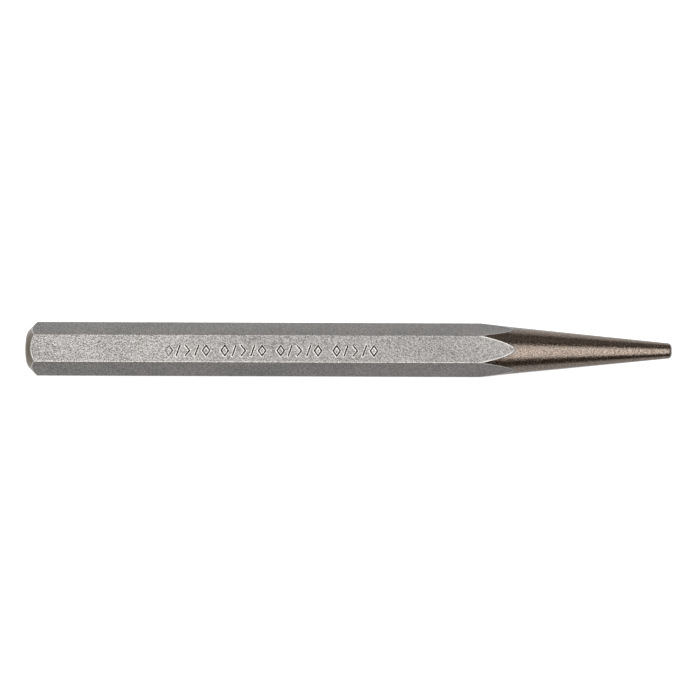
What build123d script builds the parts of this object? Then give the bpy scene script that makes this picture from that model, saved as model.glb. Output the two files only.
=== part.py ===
from build123d import *
from math import cos, radians, tan
import os

# A hand punch made from one length of hexagon tool steel, lying on one of its flats.
# +X runs from the struck head to the tip, +Z is up and the flat underneath is at Z = 0.
# X = 0 is half way along. The steel is divided into its working zones, which meet face
# to face on planes square to the bar: struck head, hexagon shank, round nose and tip.

# Hexagon bar
overall_length = 152.4
across_flats = 11.1125
bar_corner_radius = 0.25

# Struck head: a shallow crown, a rounded edge and a chamfer that cuts the six corners
face_diameter = 8.1
crown_height = 0.3
face_edge_radius = 2.2
head_chamfer_angle = 45.0
head_zone_length = 12.7

# Taper: from the bar's rounded corners down to a blunt, slightly domed tip
taper_length = 45.7
tip_diameter = 3.52
tip_dome_height = 0.1
tip_edge_radius = 0.6
tip_zone_length = 9.5
round_run_out = 1.0

# Row of stamped ornaments on the upper flat, in groups with one place left empty between
row_start = 33.3
row_offset = -0.45
group_count = 4
ornament_pitch = 2.18
ornament_width = 1.7
ornament_height = 2.4
stroke_width = 0.3
stroke_depth = 0.2

# Strokes of one group, in widths and heights from each ornament's own centre
diamond = [(-0.5, 0), (0, 0.5), (0.5, 0), (0, -0.5), (-0.5, 0)]
slant = [(-0.25, -0.5), (0.25, 0.5)]
chevron = [(-0.3, 0.5), (0.3, 0), (-0.3, -0.5)]
ornament_group = [diamond, slant, chevron, slant, diamond]

# Places along the bar, and the turned cone
axis_height = across_flats / 2
corner_reach = bar_corner_radius + (axis_height - bar_corner_radius) / cos(radians(30))
taper_slope = (corner_reach - tip_diameter / 2) / taper_length
head_end = -overall_length / 2
tip_end = overall_length / 2
flats_end = tip_end - (axis_height - tip_diameter / 2) / taper_slope
shank_start = head_end + head_zone_length
nose_start = flats_end + round_run_out
tip_start = tip_end - tip_zone_length
stock_radius = across_flats

axis_plane = Plane(origin=(0, 0, axis_height), x_dir=(1, 0, 0), z_dir=(0, -1, 0))
bar_axis = Axis((0, 0, axis_height), (1, 0, 0))


def section_plane(x):
    return Plane(origin=(x, 0, axis_height), x_dir=(0, 1, 0), z_dir=(1, 0, 0))


def turned_radius(x):
    return tip_diameter / 2 + (tip_end - x) * taper_slope


def vertex_at(sketch, point):
    return sketch.vertices().sort_by_distance(Vector(*point))[0]


# Bar section, with two corners level with the axis and two flats level with the ground
with BuildSketch() as bar_section:
    RegularPolygon(axis_height, 6, major_radius=False)
    fillet(bar_section.vertices(), bar_corner_radius)

# Outline turned on the lathe, which runs clear of the bar between head and taper
face_edge = (head_end + crown_height, face_diameter / 2)
chamfer_length = (stock_radius - face_edge[1]) / tan(radians(head_chamfer_angle))
chamfer_end = (face_edge[0] + chamfer_length, stock_radius)
cone_end = (tip_end - (stock_radius - tip_diameter / 2) / taper_slope, stock_radius)
tip_edge = (tip_end - tip_dome_height, turned_radius(tip_end - tip_dome_height))

with BuildSketch() as turned_outline:
    with BuildLine():
        TangentArc((head_end, 0), face_edge, tangent=(0, 1))
        Polyline(face_edge, chamfer_end, cone_end, tip_edge)
        TangentArc((tip_end, 0), tip_edge, tangent=(0, 1))
        Line((tip_end, 0), (head_end, 0))
    make_face()
    fillet(vertex_at(turned_outline, face_edge), face_edge_radius)
    fillet(vertex_at(turned_outline, tip_edge), tip_edge_radius)


def turn_from_bar(start, end):
    with BuildSketch(section_plane(start)) as bar_face:
        add(bar_section.sketch)
    extrude(bar_face.sketch, amount=end - start)
    with BuildSketch(axis_plane) as lathe_face:
        add(turned_outline.sketch)
    revolve(lathe_face.sketch, axis=bar_axis, mode=Mode.INTERSECT)


# Struck head
with BuildPart() as struck_head:
    turn_from_bar(head_end, shank_start)
struck_head.part.label = "struck_head"

# Hexagon shank, with the six flats run out on the cone and the ornaments stamped in
with BuildPart() as hex_shank:
    turn_from_bar(shank_start, nose_start)
    with BuildSketch(Plane.XY.offset(across_flats)):
        for group in range(group_count):
            for place, strokes in enumerate(ornament_group):
                step = group * (len(ornament_group) + 1) + place
                center_x = head_end + row_start + ornament_width / 2 + step * ornament_pitch
                with BuildLine():
                    Polyline(
                        [
                            (center_x + x * ornament_width, row_offset + y * ornament_height)
                            for x, y in strokes
                        ]
                    )
                trace(line_width=stroke_width)
    extrude(amount=-stroke_depth, mode=Mode.SUBTRACT)
hex_shank.part.label = "hex_shank"

# Round nose
with BuildPart() as tapered_nose:
    turn_from_bar(nose_start, tip_start)
tapered_nose.part.label = "tapered_nose"

# Working tip
with BuildPart() as working_tip:
    turn_from_bar(tip_start, tip_end)
working_tip.part.label = "working_tip"

os.makedirs("parts", exist_ok=True)
export_step(struck_head.part, "parts/struck_head.step")
export_step(hex_shank.part, "parts/hex_shank.step")
export_step(tapered_nose.part, "parts/tapered_nose.step")
export_step(working_tip.part, "parts/working_tip.step")
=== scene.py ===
import bmesh
import bpy
from math import cos, pi, radians, sin, sqrt, tan
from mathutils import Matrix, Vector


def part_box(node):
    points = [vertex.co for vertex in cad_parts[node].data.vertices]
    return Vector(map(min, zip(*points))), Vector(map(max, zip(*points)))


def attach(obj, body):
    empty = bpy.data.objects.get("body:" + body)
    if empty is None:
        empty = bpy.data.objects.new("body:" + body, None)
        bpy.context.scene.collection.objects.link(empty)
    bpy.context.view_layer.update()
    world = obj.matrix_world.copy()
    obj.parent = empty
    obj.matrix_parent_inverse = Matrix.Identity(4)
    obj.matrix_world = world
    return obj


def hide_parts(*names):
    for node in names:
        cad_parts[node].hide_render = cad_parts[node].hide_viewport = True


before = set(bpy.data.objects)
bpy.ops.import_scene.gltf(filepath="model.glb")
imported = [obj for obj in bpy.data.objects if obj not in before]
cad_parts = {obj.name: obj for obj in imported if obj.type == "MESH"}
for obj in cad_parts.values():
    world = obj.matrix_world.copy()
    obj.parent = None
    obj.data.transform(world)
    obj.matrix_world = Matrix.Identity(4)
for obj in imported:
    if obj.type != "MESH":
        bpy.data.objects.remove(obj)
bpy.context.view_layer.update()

mm = 0.001

# the zones of the bar, read from the frame
headLow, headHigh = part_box("struck_head")
noseLow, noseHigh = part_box("tapered_nose")
tipLow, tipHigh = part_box("working_tip")

bar = {
    "headEnd": headLow.x,
    "shankStart": headHigh.x,
    "noseStart": noseLow.x,
    "tipStart": tipLow.x,
    "tipEnd": tipHigh.x,
    "axisHeight": (headLow.z + headHigh.z) / 2,
    "flatDistance": (headHigh.z - headLow.z) / 2,
    "cornerReach": headHigh.y,
    "taperSlope": (noseHigh.y - tipHigh.y) / (tipLow.x - noseLow.x),
    "noseRadius": noseHigh.y,
    "roundSteps": 192,
    "cornerSteps": 8,
    "flatLean": 0.02,  # a face that leans less lies along the bar
    "turnedLean": 0.06,  # a face that leans more was turned
    "smoothAngle": radians(24),
    "merge": 0.0005 * mm,
    "near": 0.01 * mm,
    "shoulder": 0.09 * mm,
    "shoulderLength": 11 * mm,
    "coneLead": 3 * mm,  # how far before the taper the cone's outline begins
    "spare": 1 * mm,  # what a cutting outline has beyond its piece
}
bar["cornerDistance"] = bar["flatDistance"] / cos(radians(30))
bar["cornerRadius"] = (bar["cornerDistance"] - bar["cornerReach"]) / (1 / cos(radians(30)) - 1)
bar["taperStart"] = bar["noseStart"] - (bar["cornerReach"] - bar["noseRadius"]) / bar["taperSlope"]
print("frame read: taper starts at", round(bar["taperStart"] / mm, 2), "mm")


def turnedRadius(x):
    # the straight cone, a little fuller where it leaves the bar
    share = (x - bar["taperStart"]) / bar["shoulderLength"]
    fullness = bar["shoulder"] * (1 - min(max(share, 0), 1)) ** 2
    return bar["noseRadius"] - (x - bar["noseStart"]) * bar["taperSlope"] + fullness


# small helpers for modelling
def deselectAll():
    if bpy.context.object and bpy.context.object.mode != 'OBJECT':
        bpy.ops.object.mode_set(mode='OBJECT')
    bpy.ops.object.select_all(action='DESELECT')


def makeActive(piece):
    deselectAll()
    piece.select_set(True)
    bpy.context.view_layer.objects.active = piece


def addDisc(name, x, radius, corners):
    # a filled ring of corners, square to the bar, with its first corner on +Y
    deselectAll()
    bpy.ops.mesh.primitive_circle_add(
        vertices=corners, radius=radius, fill_type='NGON',
        location=(x, 0, bar["axisHeight"]), rotation=(0, pi / 2, 0),
    )
    piece = bpy.context.object
    piece.name = name
    piece.data.name = name
    bpy.ops.object.transform_apply(location=True, rotation=True, scale=True)
    bpy.ops.object.mode_set(mode='EDIT')
    bpy.ops.mesh.select_mode(type='FACE')
    bpy.ops.mesh.select_all(action='SELECT')
    return piece


def extrudeTo(x, radius, fromX, fromRadius):
    # the selected end face moves along the bar and changes its radius
    bpy.ops.mesh.extrude_region_move(TRANSFORM_OT_translate={"value": (x - fromX, 0, 0)})
    if radius != fromRadius:
        factor = radius / fromRadius
        bpy.ops.transform.resize(
            value=(1, factor, factor), center_override=(x, 0, bar["axisHeight"]),
        )


def turnRings(name, rings, steps):
    piece = addDisc(name, rings[0][0], rings[0][1], steps)
    for (fromX, fromRadius), (x, radius) in zip(rings, rings[1:]):
        extrudeTo(x, radius, fromX, fromRadius)
    closeMesh()
    return piece


def closeMesh():
    bpy.ops.mesh.select_all(action='SELECT')
    bpy.ops.mesh.normals_make_consistent(inside=False)
    bpy.ops.object.mode_set(mode='OBJECT')


def selectEdges(piece, test):
    # edit mode, only the edges that pass the test
    makeActive(piece)
    bpy.ops.object.mode_set(mode='EDIT')
    bpy.ops.mesh.select_mode(type='EDGE')
    bpy.ops.mesh.select_all(action='DESELECT')
    mesh = bmesh.from_edit_mesh(piece.data)
    for edge in mesh.edges:
        if test(edge):
            edge.select_set(True)
    bmesh.update_edit_mesh(piece.data)


def selectFaces(piece, test):
    makeActive(piece)
    bpy.ops.object.mode_set(mode='EDIT')
    bpy.ops.mesh.select_mode(type='FACE')
    bpy.ops.mesh.select_all(action='DESELECT')
    mesh = bmesh.from_edit_mesh(piece.data)
    for face in mesh.faces:
        if test(face):
            face.select_set(True)
    bmesh.update_edit_mesh(piece.data)


def applyModifier(piece, kind, **settings):
    makeActive(piece)
    modifier = piece.modifiers.new(kind.title(), kind)
    for key, value in settings.items():
        setattr(modifier, key, value)
    bpy.ops.object.modifier_apply(modifier=modifier.name)


def radiusOf(point):
    return sqrt(point.y ** 2 + (point.z - bar["axisHeight"]) ** 2)


def roundEdge(piece, x, radius, offset, steps):
    # rounds the edge of a turned shape that runs round it at one place and radius
    selectEdges(piece, lambda edge: all(
        abs(vertex.co.x - x) < bar["near"] and abs(radiusOf(vertex.co) - radius) < bar["near"]
        for vertex in edge.verts
    ))
    bpy.ops.mesh.bevel(offset=offset, affect='EDGES', segments=steps)
    bpy.ops.object.mode_set(mode='OBJECT')


def hexagonBar(name, startX, endX):
    # a hexagon with rounded corners, drawn out to a length of bar
    piece = addDisc(name, startX, bar["cornerDistance"], 6)
    bpy.ops.mesh.select_mode(type='VERT')
    bpy.ops.mesh.select_all(action='SELECT')
    bpy.ops.mesh.bevel(
        offset=bar["cornerRadius"] * tan(radians(30)), affect='VERTICES',
        segments=bar["cornerSteps"],
    )
    bpy.ops.mesh.select_all(action='SELECT')
    bpy.ops.mesh.extrude_region_move(TRANSFORM_OT_translate={"value": (endX - startX, 0, 0)})
    closeMesh()
    return piece


def keepInside(piece, tool):
    applyModifier(piece, 'BOOLEAN', operation='INTERSECT', solver='EXACT', object=tool)
    bpy.data.objects.remove(tool)


def turnedMeetsFlat(edge):
    # an edge between a face along the bar and one that the lathe made, at either end of the flats
    if bar["shankStart"] < edge.verts[0].co.x < bar["taperStart"] - bar["coneLead"]:
        return False
    leans = sorted(abs(face.normal.x) for face in edge.link_faces)
    return len(leans) == 2 and leans[0] < bar["flatLean"] and leans[1] > bar["turnedLean"]


def finishShading(piece):
    makeActive(piece)
    bpy.ops.object.mode_set(mode='EDIT')
    bpy.ops.mesh.select_all(action='SELECT')
    bpy.ops.mesh.remove_doubles(threshold=bar["merge"])
    bpy.ops.mesh.normals_make_consistent(inside=False)
    bpy.ops.object.mode_set(mode='OBJECT')
    bpy.ops.object.shade_smooth_by_angle(angle=bar["smoothAngle"])
    selectEdges(piece, turnedMeetsFlat)
    bpy.ops.mesh.mark_sharp()
    bpy.ops.object.mode_set(mode='OBJECT')
    applyModifier(piece, 'WEIGHTED_NORMAL', mode='FACE_AREA', keep_sharp=True)


# struck head
head = {
    "faceRadius": 4.05 * mm,
    "crownHeight": 0.3 * mm,
    "crownRings": 7,
    "crownMargin": 0.3 * mm,
    "edgeRound": 0.75 * mm,
    "edgeSteps": 8,
    "chamferReach": 8 * mm,
}


def makeStruckHead():
    sphereRadius = (head["faceRadius"] ** 2 + head["crownHeight"] ** 2) / (2 * head["crownHeight"])
    rings = []
    crownReach = head["faceRadius"] - head["edgeRound"] - head["crownMargin"]
    radii = [crownReach * ring / head["crownRings"] for ring in range(1, head["crownRings"] + 1)]
    for radius in radii + [head["faceRadius"]]:
        drop = sphereRadius - sqrt(sphereRadius ** 2 - radius ** 2)
        rings.append((bar["headEnd"] + drop, radius))
    faceEdge = rings[-1]
    rings.append((faceEdge[0] + head["chamferReach"] - faceEdge[1], head["chamferReach"]))
    rings.append((bar["shankStart"] + bar["spare"], head["chamferReach"]))
    tool = turnRings("headOutline", rings, bar["roundSteps"])
    roundEdge(tool, *faceEdge, head["edgeRound"], head["edgeSteps"])
    piece = hexagonBar("struckHead", bar["headEnd"] - bar["spare"], bar["shankStart"])
    keepInside(piece, tool)
    finishShading(piece)
    return piece


struckHead = makeStruckHead()
print("struck head:", len(struckHead.data.polygons), "faces")

# nose
nose = {"rings": 30}


def makeNose():
    spacing = (bar["tipStart"] - bar["noseStart"]) / nose["rings"]
    places = [bar["noseStart"] + spacing * ring for ring in range(nose["rings"] + 1)]
    piece = turnRings("taperedNose", [(x, turnedRadius(x)) for x in places], bar["roundSteps"])
    finishShading(piece)
    return piece


taperedNose = makeNose()
print("nose:", len(taperedNose.data.polygons), "faces")

# tip
tip = {"rings": 10, "dome": 0.1 * mm, "domeRings": 6, "edgeRound": 0.55 * mm, "edgeSteps": 9}


def makeTip():
    shoulder = bar["tipEnd"] - tip["dome"]
    spacing = (shoulder - bar["tipStart"]) / tip["rings"]
    places = [bar["tipStart"] + spacing * ring for ring in range(tip["rings"] + 1)]
    rings = [(x, turnedRadius(x)) for x in places]
    edgeRadius = turnedRadius(shoulder)
    for ring in range(1, tip["domeRings"]):
        share = ring / tip["domeRings"]
        rings.append((shoulder + tip["dome"] * (1 - (1 - share) ** 2), edgeRadius * (1 - share)))
    piece = turnRings("workingTip", rings, bar["roundSteps"])
    roundEdge(piece, shoulder, edgeRadius, tip["edgeRound"], tip["edgeSteps"])
    finishShading(piece)
    return piece


workingTip = makeTip()
print("tip:", len(workingTip.data.polygons), "faces")

# shank with its stamped row
shank = {"coneRings": 18}
stamp = {
    "start": 33.3 * mm,
    "offset": -0.45 * mm,
    "pitch": 2.18 * mm,
    "width": 1.7 * mm,
    "height": 2.4 * mm,
    "groups": 4,
    "cell": 0.075 * mm,
    "blocks": 8,
    "border": 0.5 * mm,
    "strokeHalf": 0.2 * mm,
    "depth": 0.2 * mm,
    "lipReach": 0.45 * mm,
    "lipCore": 0.2 * mm,
    "lipHeight": 0.04 * mm,
    "weakLength": 2.6 * mm,
    "weakest": 0.35,
    "ornaments": {
        "diamond": [(-0.5, 0), (0, 0.5), (0.5, 0), (0, -0.5), (-0.5, 0)],
        "slant": [(-0.25, -0.5), (0.25, 0.5)],
        "chevron": [(-0.3, 0.5), (0.3, 0), (-0.3, -0.5)],
    },
    "group": ["diamond", "slant", "chevron", "slant", "diamond"],
}


def stampGuide():
    # the stroke lines of the whole row, level with the upper flat
    points = []
    lines = []
    top = bar["axisHeight"] + bar["flatDistance"]
    for group in range(stamp["groups"]):
        for place, kind in enumerate(stamp["group"]):
            step = group * (len(stamp["group"]) + 1) + place
            centerX = bar["headEnd"] + stamp["start"] + stamp["width"] / 2 + step * stamp["pitch"]
            corners = stamp["ornaments"][kind]
            lines += [(len(points) + i, len(points) + i + 1) for i in range(len(corners) - 1)]
            points += [
                (centerX + x * stamp["width"], stamp["offset"] + y * stamp["height"], top)
                for x, y in corners
            ]
    mesh = bpy.data.meshes.new("stampGuide")
    mesh.from_pydata(points, lines, [])
    guide = bpy.data.objects.new("stampGuide", mesh)
    bpy.context.collection.objects.link(guide)
    return guide


def onUpperFlat(face):
    return face.normal.z > 0.999


def cutUpperFlat(piece, point, normal):
    selectFaces(piece, onUpperFlat)
    bpy.ops.mesh.bisect(plane_co=point, plane_no=normal)


def rowOutline():
    # the patch of the upper flat that holds the row, with a border round it
    places = stamp["groups"] * (len(stamp["group"]) + 1) - 1
    rowLength = (places - 1) * stamp["pitch"] + stamp["width"]
    lowX = bar["headEnd"] + stamp["start"] - stamp["border"]
    highX = lowX + rowLength + 2 * stamp["border"]
    lowY = stamp["offset"] - stamp["height"] / 2 - stamp["border"]
    highY = stamp["offset"] + stamp["height"] / 2 + stamp["border"]
    return lowX, highX, lowY, highY


def gridUpperFlat(piece):
    # a fine grid where the row is stamped; gives the points inside it
    lowX, highX, lowY, highY = rowOutline()
    tiny = 0.001 * mm
    for x in (lowX, highX):
        cutUpperFlat(piece, (x, 0, 0), (1, 0, 0))
    for y in (lowY, highY):
        cutUpperFlat(piece, (0, y, 0), (0, 1, 0))

    def inRow(point, margin=tiny):
        return (lowX - margin < point.x < highX + margin
                and lowY - margin < point.y < highY + margin
                and point.z > bar["axisHeight"])

    def alongRow(edge):
        a, b = (vertex.co for vertex in edge.verts)
        return inRow(a) and inRow(b) and abs(a.y - b.y) < tiny < abs(a.x - b.x)

    def acrossRow(edge):
        a, b = (vertex.co for vertex in edge.verts)
        return inRow(a) and inRow(b) and abs(a.x - b.x) < tiny < abs(a.y - b.y)

    # one subdivide makes at most a hundred cuts, so the long edges are divided twice
    for parts in (stamp["blocks"], round((highX - lowX) / stamp["cell"] / stamp["blocks"])):
        selectEdges(piece, alongRow)
        bpy.ops.mesh.subdivide(number_cuts=parts - 1)
    selectEdges(piece, acrossRow)
    bpy.ops.mesh.subdivide(number_cuts=round((highY - lowY) / stamp["cell"]) - 1)
    bpy.ops.object.mode_set(mode='OBJECT')
    return [vertex.index for vertex in piece.data.vertices if inRow(vertex.co, -tiny)]


def pressStamp(piece, inside):
    # raised lips first, then the strokes; the strike is weaker over the first ornament
    guide = stampGuide()
    rowStart = bar["headEnd"] + stamp["start"]
    strike = piece.vertex_groups.new(name="strike")
    for index in inside:
        share = (piece.data.vertices[index].co.x - rowStart) / stamp["weakLength"]
        strike.add([index], min(max(share, stamp["weakest"]), 1), 'REPLACE')
    for name, near, far, lift in (
        ("lip", stamp["lipCore"], stamp["lipReach"], stamp["lipHeight"]),
        ("stroke", 0, stamp["strokeHalf"], -stamp["depth"] - stamp["lipHeight"]),
    ):
        group = piece.vertex_groups.new(name=name)
        group.add(inside, 0.0, 'REPLACE')
        applyModifier(
            piece, 'VERTEX_WEIGHT_PROXIMITY', vertex_group=name, target=guide,
            proximity_mode='GEOMETRY', proximity_geometry={'EDGE'},
            min_dist=far, max_dist=near, falloff_type='SMOOTH', mask_vertex_group="strike",
        )
        applyModifier(
            piece, 'DISPLACE', vertex_group=name, direction='Z', mid_level=0, strength=lift,
        )
    bpy.data.objects.remove(guide)
    piece.vertex_groups.clear()


def makeShank():
    piece = hexagonBar("hexShank", bar["shankStart"], bar["noseStart"])
    coneStart = bar["taperStart"] - bar["coneLead"]
    spacing = (bar["noseStart"] - coneStart) / shank["coneRings"]
    rings = [(bar["shankStart"] - bar["spare"], turnedRadius(coneStart))]
    for ring in range(shank["coneRings"] + 1):
        x = coneStart + spacing * ring
        rings.append((x, turnedRadius(x)))
    tool = turnRings("coneOutline", rings, bar["roundSteps"])
    keepInside(piece, tool)
    pressStamp(piece, gridUpperFlat(piece))
    finishShading(piece)
    return piece


hexShank = makeShank()
print("shank:", len(hexShank.data.polygons), "faces")


# finishes: all lengths inside a finish are in millimetres
def addNode(tree, kind, inputs=None, **settings):
    made = tree.nodes.new(kind)
    for key, value in settings.items():
        setattr(made, key, value)
    for key, value in (inputs or {}).items():
        if isinstance(value, bpy.types.NodeSocket):
            tree.links.new(value, made.inputs[key])
        else:
            made.inputs[key].default_value = value
    return made


def calc(tree, operation, first, second=0.0, clamp=False):
    made = addNode(
        tree, "ShaderNodeMath", {0: first, 1: second}, operation=operation, use_clamp=clamp,
    )
    return made.outputs[0]


def blendBetween(tree, value, low, high):
    # 0 below low, 1 above high, smooth between; low above high turns it round
    made = addNode(
        tree, "ShaderNodeMapRange",
        {"Value": value, "From Min": low, "From Max": high, "To Min": 0.0, "To Max": 1.0},
        interpolation_type='SMOOTHSTEP',
    )
    return made.outputs["Result"]


def spread(tree, value, low, high):
    # a texture's middle range, stretched to run from low to high
    made = addNode(
        tree, "ShaderNodeMapRange",
        {"Value": value, "From Min": 0.3, "From Max": 0.7, "To Min": low, "To Max": high},
    )
    return made.outputs["Result"]


def mixColors(tree, share, first, second):
    made = addNode(tree, "ShaderNodeMix", {0: share, 6: first, 7: second}, data_type='RGBA')
    return made.outputs[2]


def mixValues(tree, share, first, second):
    made = addNode(tree, "ShaderNodeMix", {0: share, 2: first, 3: second}, data_type='FLOAT')
    return made.outputs[0]


def grain(tree, place, scale, stretch=(1, 1, 1), detail=2.0):
    scaled = addNode(
        tree, "ShaderNodeVectorMath", {0: place, 1: [scale * part for part in stretch]},
        operation='MULTIPLY',
    )
    made = addNode(
        tree, "ShaderNodeTexNoise", {"Vector": scaled.outputs[0], "Scale": 1.0, "Detail": detail},
    )
    return made.outputs["Fac"]


def placeOnBar(tree):
    # place in mm from the middle of the bar's axis, with the distance from that axis
    source = addNode(tree, "ShaderNodeTexCoord")
    moved = addNode(
        tree, "ShaderNodeVectorMath",
        {0: source.outputs["Object"], 1: (0, 0, -bar["axisHeight"])}, operation='ADD',
    )
    scaled = addNode(
        tree, "ShaderNodeVectorMath", {0: moved.outputs[0], "Scale": 1 / mm}, operation='SCALE',
    )
    split = addNode(tree, "ShaderNodeSeparateXYZ", {0: scaled.outputs[0]})
    across = calc(tree, 'MULTIPLY', split.outputs["Y"], split.outputs["Y"])
    upward = calc(tree, 'MULTIPLY', split.outputs["Z"], split.outputs["Z"])
    normal = addNode(tree, "ShaderNodeSeparateXYZ", {0: source.outputs["Normal"]})
    return {
        "point": scaled.outputs[0],
        "x": split.outputs["X"],
        "y": split.outputs["Y"],
        "z": split.outputs["Z"],
        "radius": calc(tree, 'SQRT', calc(tree, 'ADD', across, upward)),
        "lean": calc(tree, 'ABSOLUTE', normal.outputs["X"]),
    }


blasted = {
    "dark": (0.054, 0.052, 0.05, 1),
    "light": (0.258, 0.247, 0.239, 1),
    "grainScale": 3.0,
    "fineScale": 7.0,
    "patchScale": 0.12,
    "crispScale": 5.0,
    "grainAndGlintTone": (-0.02, 0.88),
    "patchTone": (-0.06, 0.1),
    "grainDepth": 0.1,
    "fineDepth": 0.02,
    "crispUntil": (-20, -55),
    "crispness": 0.5,
    "roughness": (0.34, 0.46),
}
oxide = {
    "dark": (0.04, 0.026, 0.017, 1),
    "light": (0.25, 0.201, 0.167, 1),
    "grainScale": 3.4,
    "fineScale": 8.0,
    "grooveScale": 4.0,
    "grainAndGlintTone": (-0.1, 0.85),
    "fineTone": (-0.15, 0.3),
    "grainDepth": 0.045,
    "fineDepth": 0.012,
    "grooveDepth": 0.005,
    "roughness": (0.2, 0.28),
    "edgeTint": 0.45,
    "coat": 0.55,  # a thin clear film, which greys the sides that are seen aslant
    "coatRoughness": 0.22,
}
turned = {
    "dark": (0.1, 0.088, 0.072, 1),
    "light": (0.19, 0.167, 0.134, 1),
    "ringScale": 5.0,
    "ringTone": (0.0, 0.6),
    "speckTone": (-0.1, 0.4),
    "ringDepth": 0.008,
    "roughness": (0.3, 0.42),
}
# the lighter colour of rubbed places, used also as painted highlight along the hexagon's edges
wornAndHighlit = {
    "color": (0.33, 0.318, 0.307, 1),
    "roughness": 0.36,
    "ridge": (0.055, 0.012),
    "scallop": (0.29, 0.145),
    "chamfer": (0.14, 0.042),
    "chamferEdge": (0.26, 0.12),
    "chamferRound": 0.24,
    "headReach": 5,  # how far behind the struck face the lathe's marks can be
    "turnedLean": (0.04, 0.06),  # a face that leans this much was turned
    "raggedScale": 1.8,
    "ragged": 0.02,
    "bleed": (0.012, 0.09),
    "tipEdge": (0.45, 0.1),
}
# the sunk strokes' colour is painted shade, darker down in the grooves
pressed = {
    "color": (0.07, 0.06, 0.054, 1),
    "depth": (0.04, 0.19),
    "roughness": 0.45,
    "lip": (0.004, 0.03),
}


# the speckle's tone is partly the blasting's grain and partly painted glint of its facets, with
# crisper speckle towards the head
def blastedLayer(tree, place):
    coarse = grain(tree, place["point"], blasted["grainScale"], detail=3.0)
    fine = grain(tree, place["point"], blasted["fineScale"])
    patch = grain(tree, place["point"], blasted["patchScale"], stretch=(0.5, 1, 1))
    tone = calc(tree, 'ADD', spread(tree, coarse, *blasted["grainAndGlintTone"]),
                spread(tree, patch, *blasted["patchTone"]))
    headward = blendBetween(tree, place["x"], *blasted["crispUntil"])
    crisp = grain(tree, place["point"], blasted["crispScale"])
    crisp = spread(tree, crisp, -blasted["crispness"], blasted["crispness"])
    tone = calc(tree, 'ADD', tone, calc(tree, 'MULTIPLY', headward, crisp), clamp=True)
    height = calc(tree, 'ADD', calc(tree, 'MULTIPLY', coarse, blasted["grainDepth"]),
                  calc(tree, 'MULTIPLY', fine, blasted["fineDepth"]))
    return {
        "color": mixColors(tree, tone, blasted["dark"], blasted["light"]),
        "roughness": spread(tree, coarse, *blasted["roughness"]),
        "height": height,
    }


# the speckle's tone is partly grain and partly painted glint, the oxide's sparkle in its highlight
def oxideLayer(tree, place):
    coarse = grain(tree, place["point"], oxide["grainScale"], detail=3.0)
    fine = grain(tree, place["point"], oxide["fineScale"])
    groove = grain(tree, place["point"], oxide["grooveScale"], stretch=(1, 0.06, 0.06))
    tone = calc(tree, 'ADD', spread(tree, coarse, *oxide["grainAndGlintTone"]),
                spread(tree, fine, *oxide["fineTone"]), clamp=True)
    height = calc(tree, 'MULTIPLY', coarse, oxide["grainDepth"])
    height = calc(tree, 'ADD', height, calc(tree, 'MULTIPLY', fine, oxide["fineDepth"]))
    height = calc(tree, 'ADD', height, calc(tree, 'MULTIPLY', groove, oxide["grooveDepth"]))
    return {
        "color": mixColors(tree, tone, oxide["dark"], oxide["light"]),
        "roughness": spread(tree, coarse, *oxide["roughness"]),
        "height": height,
    }


def turnedLayer(tree, place):
    # fine rings round the axis, as the facing tool leaves them
    along = addNode(tree, "ShaderNodeCombineXYZ", {"X": place["radius"]})
    ring = grain(tree, along.outputs[0], turned["ringScale"], detail=3.0)
    speck = grain(tree, place["point"], blasted["grainScale"], detail=3.0)
    tone = calc(tree, 'ADD', spread(tree, ring, *turned["ringTone"]),
                spread(tree, speck, *turned["speckTone"]), clamp=True)
    return {
        "color": mixColors(tree, tone, turned["dark"], turned["light"]),
        "roughness": spread(tree, speck, *turned["roughness"]),
        "height": calc(tree, 'MULTIPLY', ring, turned["ringDepth"]),
    }


def layOver(tree, share, below, above):
    return {
        "color": mixColors(tree, share, below["color"], above["color"]),
        "roughness": mixValues(tree, share, below["roughness"], above["roughness"]),
        "height": mixValues(tree, share, below["height"], above["height"]),
    }


# lightens towards the worn colour: real wear, and painted highlight where the mask is an edge line
def paintWornAndHighlit(tree, share, layer):
    return {
        "color": mixColors(tree, share, layer["color"], wornAndHighlit["color"]),
        "roughness": mixValues(tree, share, layer["roughness"], wornAndHighlit["roughness"]),
        "height": layer["height"],
    }


def ridgeWearAndHighlight(tree, place):
    # bright lines along the six rounded corners, partly rubbed wear and partly painted highlight,
    # broken up by the grain
    reach = bar["cornerReach"] / mm
    uneven = spread(tree, grain(tree, place["point"], wornAndHighlit["raggedScale"]),
                    -wornAndHighlit["ragged"], wornAndHighlit["ragged"])
    ragged = calc(tree, 'ADD', place["radius"], uneven)
    return blendBetween(tree, ragged, reach - wornAndHighlit["ridge"][0], reach - wornAndHighlit["ridge"][1])


def coneGap(tree, place, startX, startRadius, slope):
    # how far a place lies inside a cone; on a flat this closes where the flat ends on the cone
    coneRadius = calc(tree, 'MULTIPLY_ADD', place["x"], slope)
    coneRadius.node.inputs[2].default_value = startRadius - slope * startX
    return calc(tree, 'SUBTRACT', coneRadius, place["radius"])


def chamferWearAndHighlight(tree, place):
    # a bright line where a flat ends on the head's chamfer, which opens at 45 degrees: partly a
    # worn burr and partly painted highlight
    faceEdge = (bar["headEnd"] + head["crownHeight"]) / mm
    gap = coneGap(tree, place, faceEdge, head["faceRadius"] / mm, tan(radians(45)))
    return blendBetween(tree, gap, *wornAndHighlit["chamfer"])


def nearTaper(tree, place):
    return calc(tree, 'GREATER_THAN', place["x"], (bar["taperStart"] - bar["coneLead"]) / mm)


def nearHead(tree, place):
    return calc(tree, 'LESS_THAN', place["x"], bar["headEnd"] / mm + wornAndHighlit["headReach"])


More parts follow.
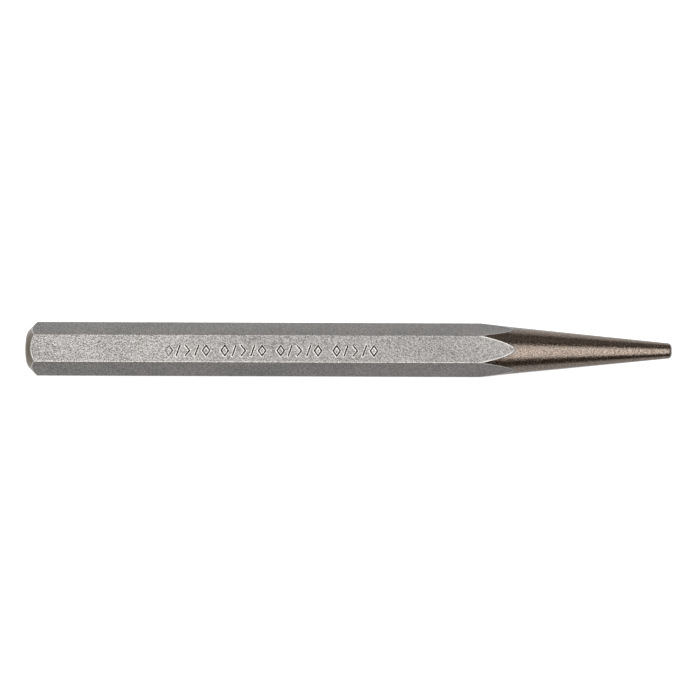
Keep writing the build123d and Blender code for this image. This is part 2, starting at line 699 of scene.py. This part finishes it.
def taperWearAndHighlight(tree, place):
    # the same at the taper, partly wear and partly painted highlight, as wide all along the curved
    # end of a flat until it nears the middle
    share = calc(tree, 'SUBTRACT', place["x"], bar["taperStart"] / mm)
    share = calc(tree, 'MULTIPLY', share, mm / bar["shoulderLength"])
    left = calc(tree, 'SUBTRACT', 1.0, share, clamp=True)
    fullness = calc(tree, 'MULTIPLY', calc(tree, 'MULTIPLY', left, left), bar["shoulder"] / mm)
    fuller = dict(place, radius=calc(tree, 'SUBTRACT', place["radius"], fullness))
    gap = coneGap(tree, fuller, bar["noseStart"] / mm, bar["noseRadius"] / mm, -bar["taperSlope"])
    square = calc(tree, 'MULTIPLY', place["radius"], place["radius"])
    square = calc(tree, 'SUBTRACT', square, (bar["flatDistance"] / mm) ** 2)
    fromMiddle = calc(tree, 'SQRT', calc(tree, 'MAXIMUM', square, 0.01))  # never zero
    inward = calc(tree, 'DIVIDE', calc(tree, 'MULTIPLY', gap, place["radius"]), fromMiddle)
    line = blendBetween(tree, inward, *wornAndHighlit["scallop"])
    onFlat = calc(tree, 'SUBTRACT', 1.0, blendBetween(tree, place["lean"], *wornAndHighlit["turnedLean"]))
    return calc(tree, 'MULTIPLY', line, calc(tree, 'MULTIPLY', nearTaper(tree, place), onFlat))


def flatGap(tree, place):
    # how far a place lies under the nearest of the six flats
    half = calc(tree, 'MULTIPLY', place["z"], cos(pi / 3))
    side = calc(tree, 'MULTIPLY', place["y"], sin(pi / 3))
    heights = [
        calc(tree, 'ABSOLUTE', place["z"]),
        calc(tree, 'ABSOLUTE', calc(tree, 'ADD', half, side)),
        calc(tree, 'ABSOLUTE', calc(tree, 'SUBTRACT', half, side)),
    ]
    highest = calc(tree, 'MAXIMUM', calc(tree, 'MAXIMUM', heights[0], heights[1]), heights[2])
    return calc(tree, 'SUBTRACT', bar["flatDistance"] / mm, highest)


def withinRow(tree, place):
    # 1 on the patch of the upper flat that holds the stamped row
    lowX, highX, lowY, highY = rowOutline()
    inside = calc(tree, 'GREATER_THAN', place["z"], 0)
    for key, low, high in (("x", lowX, highX), ("y", lowY, highY)):
        fromMiddle = calc(tree, 'SUBTRACT', place[key], (low + high) / 2 / mm)
        near = calc(tree, 'LESS_THAN', calc(tree, 'ABSOLUTE', fromMiddle), (high - low) / 2 / mm)
        inside = calc(tree, 'MULTIPLY', inside, near)
    return inside


def newMaterial(name):
    material = bpy.data.materials.new(name)
    material.use_nodes = True
    tree = material.node_tree
    shader = tree.nodes["Principled BSDF"]
    shader.inputs["Metallic"].default_value = 1.0
    return material, tree, shader


def useLayer(tree, shader, layer):
    tree.links.new(layer["color"], shader.inputs["Base Color"])
    tree.links.new(layer["roughness"], shader.inputs["Roughness"])
    bump = addNode(
        tree, "ShaderNodeBump", {"Height": layer["height"], "Strength": 1.0, "Distance": mm},
    )
    tree.links.new(bump.outputs[0], shader.inputs["Normal"])
    return bump


def blastedSteel():
    material, tree, shader = newMaterial("blastedSteel")
    place = placeOnBar(tree)
    flats = blastedLayer(tree, place)
    flats = paintWornAndHighlit(tree, ridgeWearAndHighlight(tree, place), flats)
    flatEnds = calc(tree, 'MAXIMUM', taperWearAndHighlight(tree, place), chamferWearAndHighlight(tree, place))
    flats = paintWornAndHighlit(tree, flatEnds, flats)

    # lighter raised lips, and painted shade darkening the sunk stamped strokes
    depth = calc(tree, 'SUBTRACT', bar["flatDistance"] / mm, place["z"])
    raised = blendBetween(tree, depth, -pressed["lip"][0], -pressed["lip"][1])
    flats = paintWornAndHighlit(tree, raised, flats)
    sunkShade = blendBetween(tree, depth, *pressed["depth"])
    stroke = calc(tree, 'MULTIPLY', sunkShade, withinRow(tree, place))
    flats["color"] = mixColors(tree, stroke, flats["color"], pressed["color"])
    flats["roughness"] = mixValues(tree, stroke, flats["roughness"], pressed["roughness"])

    # surfaces that the lathe made: brown oxide on the cone, bare rings on the head;
    # the blasting of each flat bleeds a little over the end of its edge
    leaning = blendBetween(tree, place["lean"], *wornAndHighlit["turnedLean"])
    underFlat = flatGap(tree, place)
    onCone = calc(tree, 'MULTIPLY', leaning, nearTaper(tree, place))
    onCone = calc(tree, 'MULTIPLY', onCone, blendBetween(tree, underFlat, *wornAndHighlit["bleed"]))
    onHead = calc(tree, 'MULTIPLY', leaning, nearHead(tree, place))
    layer = layOver(tree, onCone, flats, oxideLayer(tree, place))
    # the chamfer's edge on the turned side is lighter too: partly wear and partly painted
    # highlight
    edge = blendBetween(tree, underFlat, *wornAndHighlit["chamferEdge"])
    layer = layOver(tree, onHead, layer, paintWornAndHighlit(tree, edge, turnedLayer(tree, place)))
    bump = useLayer(tree, shader, layer)
    tree.links.new(mixValues(tree, onCone, 1.0, oxide["edgeTint"]), shader.inputs["Specular Tint"])
    tree.links.new(mixValues(tree, onCone, 0.0, oxide["coat"]), shader.inputs["Coat Weight"])
    shader.inputs["Coat Roughness"].default_value = oxide["coatRoughness"]

    # the chamfer's edge is rubbed round
    rounded = addNode(tree, "ShaderNodeBevel", {"Radius": wornAndHighlit["chamferRound"] * mm}, samples=8)
    sharp = addNode(tree, "ShaderNodeNewGeometry").outputs["Normal"]
    normal = mixColors(tree, nearHead(tree, place), sharp, rounded.outputs[0])
    tree.links.new(normal, bump.inputs["Normal"])
    return material


def oxideSteel():
    material, tree, shader = newMaterial("oxideSteel")
    place = placeOnBar(tree)
    shader.inputs["Specular Tint"].default_value = (*[oxide["edgeTint"]] * 3, 1)
    shader.inputs["Coat Weight"].default_value = oxide["coat"]
    shader.inputs["Coat Roughness"].default_value = oxide["coatRoughness"]
    toEnd = calc(tree, 'SUBTRACT', bar["tipEnd"] / mm, place["x"])
    rubbed = blendBetween(tree, toEnd, *wornAndHighlit["tipEdge"])
    useLayer(tree, shader, paintWornAndHighlit(tree, rubbed, oxideLayer(tree, place)))
    return material


steelFinish = blastedSteel()
oxideFinish = oxideSteel()
for piece, finish, node, slot in (
    (struckHead, steelFinish, "struck_head", "blasted_steel"),
    (hexShank, steelFinish, "hex_shank", "blasted_steel"),
    (taperedNose, oxideFinish, "tapered_nose", "oxide_steel"),
    (workingTip, oxideFinish, "working_tip", "oxide_steel"),
):
    piece.data.materials.clear()
    piece.data.materials.append(finish)
    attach(piece, "root")
    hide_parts(node)
print("finishes ready")

# studio
studio = {
    "floorSize": 12.0,
    "floorGlow": 0.7,
    "paintedPoolGlow": (-0.05, 0.5),
    "nearReach": (35 * mm, 8 * mm),
    "nearLength": (105 * mm, 70 * mm),
    "sideBlend": 6 * mm,
    "floorColor": (0.3, 0.3, 0.3),
    "floorRoughness": 0.9,
    "boxPlace": (0.0, -0.2, 1.2),
    "boxSize": (1.7, 1.58),
    "boxPower": 27.0,
    "leftPlace": (-0.6, -0.3, 1.15),
    "leftSize": (0.7, 0.9),
    "leftPower": 10.0,
    "fillPlace": (0.0, 0.6, 0.35),
    "fillSize": (1.2, 0.4),
    "fillPower": 0.4,
    "endPlace": (0.7, 0.0, 0.3),
    "endSize": (0.5, 0.4),
    "endPower": 0.5,
    "roomColor": (1.0, 0.76, 0.55),
    "roomGlow": 0.11,
}


def makeFloor():
    deselectAll()
    bpy.ops.mesh.primitive_plane_add(size=studio["floorSize"], location=(0, 0, 0))
    floor = bpy.context.object
    floor.name = "studioFloor"
    material = bpy.data.materials.new("paleFloor")
    material.use_nodes = True
    shader = material.node_tree.nodes["Principled BSDF"]
    shader.inputs["Base Color"].default_value = (*studio["floorColor"], 1)
    shader.inputs["Roughness"].default_value = studio["floorRoughness"]
    shader.inputs["Specular IOR Level"].default_value = 0.0
    shader.inputs["Emission Color"].default_value = (1, 1, 1, 1)
    # the light table glows evenly, with a painted pool of light beside the tool: more on its far
    # side only, a trace less on its near side, to wash out the tool's shadow and make the upper
    # flat reflect more light
    tree = material.node_tree
    source = addNode(tree, "ShaderNodeTexCoord")
    split = addNode(tree, "ShaderNodeSeparateXYZ", {0: source.outputs["Object"]})
    across = split.outputs["Y"]
    near = blendBetween(tree, calc(tree, 'ABSOLUTE', across), *studio["nearReach"])
    beside = blendBetween(tree, calc(tree, 'ABSOLUTE', split.outputs["X"]), *studio["nearLength"])
    near = calc(tree, 'MULTIPLY', near, beside)
    farSide = blendBetween(tree, across, -studio["sideBlend"], studio["sideBlend"])
    paintedPoolLift = mixValues(tree, farSide, *studio["paintedPoolGlow"])
    glow = calc(tree, 'ADD', calc(tree, 'MULTIPLY', near, paintedPoolLift), studio["floorGlow"])
    tree.links.new(glow, shader.inputs["Emission Strength"])
    floor.data.materials.append(material)


def addSoftbox(name, place, size, power):
    light = bpy.data.lights.new(name, 'AREA')
    light.shape = 'RECTANGLE'
    light.size, light.size_y = size
    light.energy = power
    lamp = bpy.data.objects.new(name, light)
    bpy.context.collection.objects.link(lamp)
    lamp.location = place
    lamp.rotation_euler = (-lamp.location).to_track_quat('-Z', 'Y').to_euler()


def makeRoom():
    world = bpy.data.worlds.new("studioRoom")
    bpy.context.scene.world = world
    world.use_nodes = True
    background = world.node_tree.nodes["Background"]
    background.inputs["Color"].default_value = (*studio["roomColor"], 1)
    background.inputs["Strength"].default_value = studio["roomGlow"]


makeFloor()
addSoftbox("overheadSoftbox", studio["boxPlace"], studio["boxSize"], studio["boxPower"])
addSoftbox("leftSoftbox", studio["leftPlace"], studio["leftSize"], studio["leftPower"])
addSoftbox("fillCard", studio["fillPlace"], studio["fillSize"], studio["fillPower"])
addSoftbox("endCard", studio["endPlace"], studio["endSize"], studio["endPower"])
makeRoom()

view = {
    "distance": 0.52,
    "elevation": 88.1,
    "width": 165.44 * mm,
    "roll": 0.2045,
    "aim": (0.361 * mm, -0.06 * mm),
    "sensor": 36.0,
}


def makeCamera():
    camera = bpy.data.cameras.new("punchCamera")
    camera.sensor_width = view["sensor"]
    camera.lens = view["sensor"] * view["distance"] / view["width"]
    holder = bpy.data.objects.new("punchCamera", camera)
    bpy.context.collection.objects.link(holder)
    lean = radians(90 - view["elevation"])
    holder.location = (
        view["aim"][0],
        view["aim"][1] - view["distance"] * sin(lean),
        bar["axisHeight"] + view["distance"] * cos(lean),
    )
    holder.rotation_euler = (lean, 0, radians(view["roll"]))
    bpy.context.scene.camera = holder


makeCamera()
bpy.context.scene.view_settings.view_transform = 'Standard'
print("studio ready")
